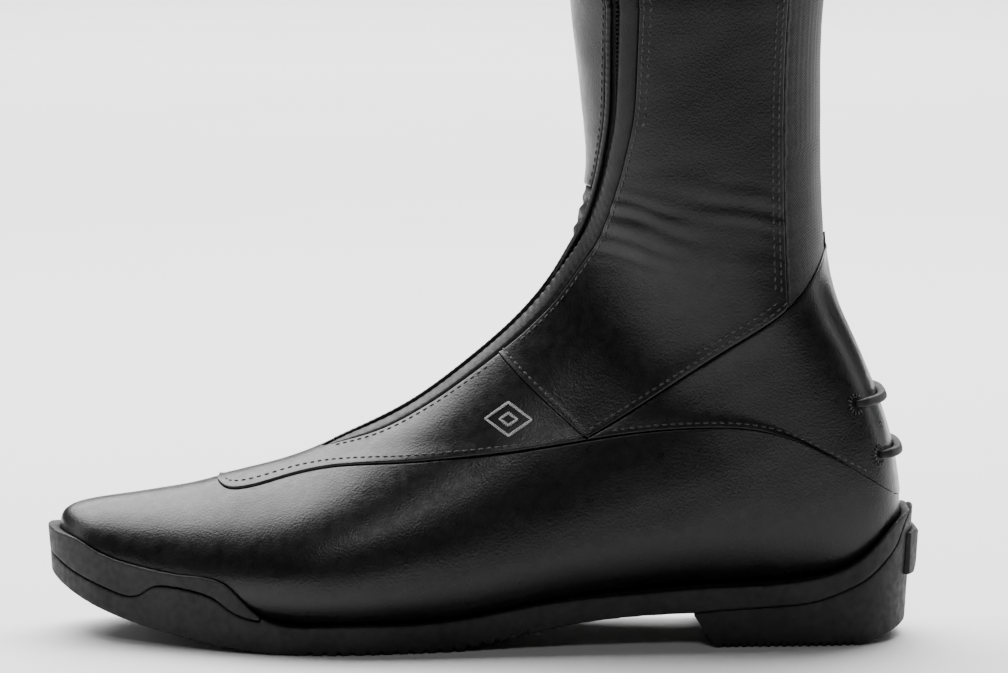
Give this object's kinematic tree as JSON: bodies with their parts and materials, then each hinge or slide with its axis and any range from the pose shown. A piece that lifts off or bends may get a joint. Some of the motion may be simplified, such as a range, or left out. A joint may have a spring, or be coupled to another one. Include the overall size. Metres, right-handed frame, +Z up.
{
  "type": "riding boot",
  "caption": "Tall black leather riding boot for the left foot, with a front zip, elastic back gore, low rubber heel and spur rests.",
  "frame": {"origin": "middle of the boot's bounding box in plan, on the ground that the sole and heel stand on", "axes": "+Z up the shaft; the toe points to -X and the heel to +X; the outer (lateral) side faces -Y and the inner side +Y"},
  "size_m": [0.2986, 0.1096, 0.4934],
  "materials": {
    "leather": "smooth grained calf leather, semi-gloss",
    "flex_leather": "soft thin leather, satin",
    "elastic": "ribbed elastic webbing, matte",
    "rubber": "moulded rubber, matte",
    "lining": "thin pigskin-like lining, matte",
    "footbed": "foam with a knitted cover",
    "stiffener": "thermoplastic and fibre board",
    "steel": "sprung steel strip",
    "zip_tape": "woven zip tape",
    "zip_coil": "nylon coil",
    "dark_metal": "gunmetal, satin",
    "thread_black": "bonded thread",
    "thread_grey": "embroidery thread"
  },
  "bodies": {
    "boot": {"vamp": "leather", "vamp_medial": "leather", "quarter_lateral": "leather", "quarter_medial": "leather", "heel_quarter": "leather", "shaft_lateral": "leather", "shaft_medial": "leather", "shin_panel": "leather", "instep_gusset": "flex_leather", "rear_gore": "elastic", "top_binding": "flex_leather", "zip_band": "flex_leather", "zip_piping": "leather", "zip_tape_lateral": "zip_tape", "zip_tape_medial": "zip_tape", "zip_coil_lateral": "zip_coil", "zip_coil_medial": "zip_coil", "zip_stops": "dark_metal", "zip_guard": "lining", "snap_tab_base": "leather", "snap_stud": "dark_metal", "spur_rest_upper": "rubber", "spur_rest_lower": "rubber", "toe_puff": "stiffener", "heel_counter": "stiffener", "lining_shaft": "lining", "lining_foot": "lining", "insole_board": "stiffener", "footbed": "footbed", "steel_shank": "steel", "toe_bumper": "rubber", "outsole": "rubber", "heel_block": "rubber", "heel_spur_ledge": "rubber"},
    "zip_slider": {"zip_slider": "dark_metal"},
    "zip_pull": {"zip_pull": "dark_metal"},
    "snap_tab": {"snap_tab": "leather", "snap_cap": "dark_metal"}
  },
  "joints": [
    {"name": "zip_travel", "type": "slide", "parent": "boot", "child": "zip_slider", "axis": [0.0116, 0.0645, -0.9979], "range_m": [0, 0.205]},
    {"name": "zip_pull_swing", "type": "hinge", "parent": "zip_slider", "child": "zip_pull", "pos_m": [0.04037, -0.04429, 0.42985], "axis": [-0.8902, 0.4552, 0.0191], "range_deg": [0, 150]},
    {"name": "snap_tab_open", "type": "hinge", "parent": "boot", "child": "snap_tab", "pos_m": [0.05152, -0.05087, 0.45782], "axis": [-0.0116, -0.0645, 0.9979], "range_deg": [0, 120]}
  ]
}
